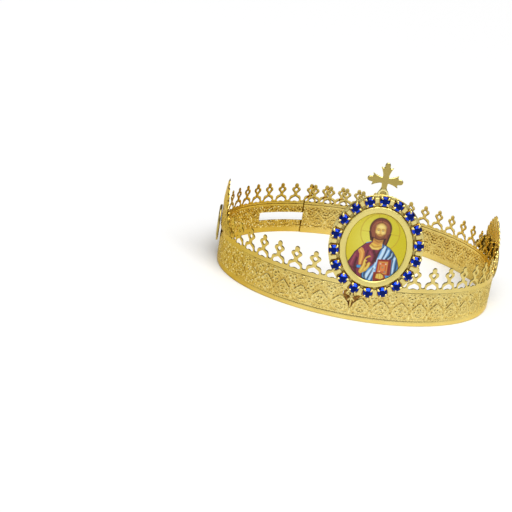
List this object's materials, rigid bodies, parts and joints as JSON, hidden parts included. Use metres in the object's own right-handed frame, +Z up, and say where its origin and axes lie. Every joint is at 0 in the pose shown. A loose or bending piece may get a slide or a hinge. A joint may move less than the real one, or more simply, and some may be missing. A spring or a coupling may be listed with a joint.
{
  "type": "wedding crown",
  "caption": "Low stamped brass wedding crown with a cresting of finials, a front medallion framed by blue stones, a cross on top and a ribbed leaf on each side.",
  "frame": {"origin": "middle of the head opening, level with the lower edge of the band", "axes": "+Z up out of the head opening, -Y to the front with the medallion, +X to the viewer's right"},
  "size_m": [0.1912, 0.2047, 0.0987],
  "materials": {
    "gilt_sheet": "stamped, gold plated, glossy",
    "gilt_plate": "smooth, gold plated, polished",
    "gilt_cups": "gold plated, polished",
    "inner_sheet": "dull, in shadow",
    "blue_glass": "cut and polished, foiled behind",
    "printed_picture": "glossy printed picture"
  },
  "bodies": {
    "root": {"band": "gilt_sheet", "size_stud": "gilt_sheet", "front_plate": "gilt_plate", "backing_plate": "inner_sheet", "bezel": "gilt_plate", "picture": "printed_picture", "cup_chain": "gilt_cups", "cross": "gilt_plate", "ornament_left": "gilt_sheet", "ornament_right": "gilt_sheet", "side_plate_left": "gilt_plate", "side_plate_right": "gilt_plate", "stone_01": "blue_glass", "stone_02": "blue_glass", "stone_03": "blue_glass", "stone_04": "blue_glass", "stone_05": "blue_glass", "stone_06": "blue_glass", "stone_07": "blue_glass", "stone_08": "blue_glass", "stone_09": "blue_glass", "stone_10": "blue_glass", "stone_11": "blue_glass", "stone_12": "blue_glass", "stone_13": "blue_glass", "stone_14": "blue_glass", "stone_15": "blue_glass", "stone_16": "blue_glass", "stone_17": "blue_glass", "stone_18": "blue_glass"}
  },
  "joints": []
}
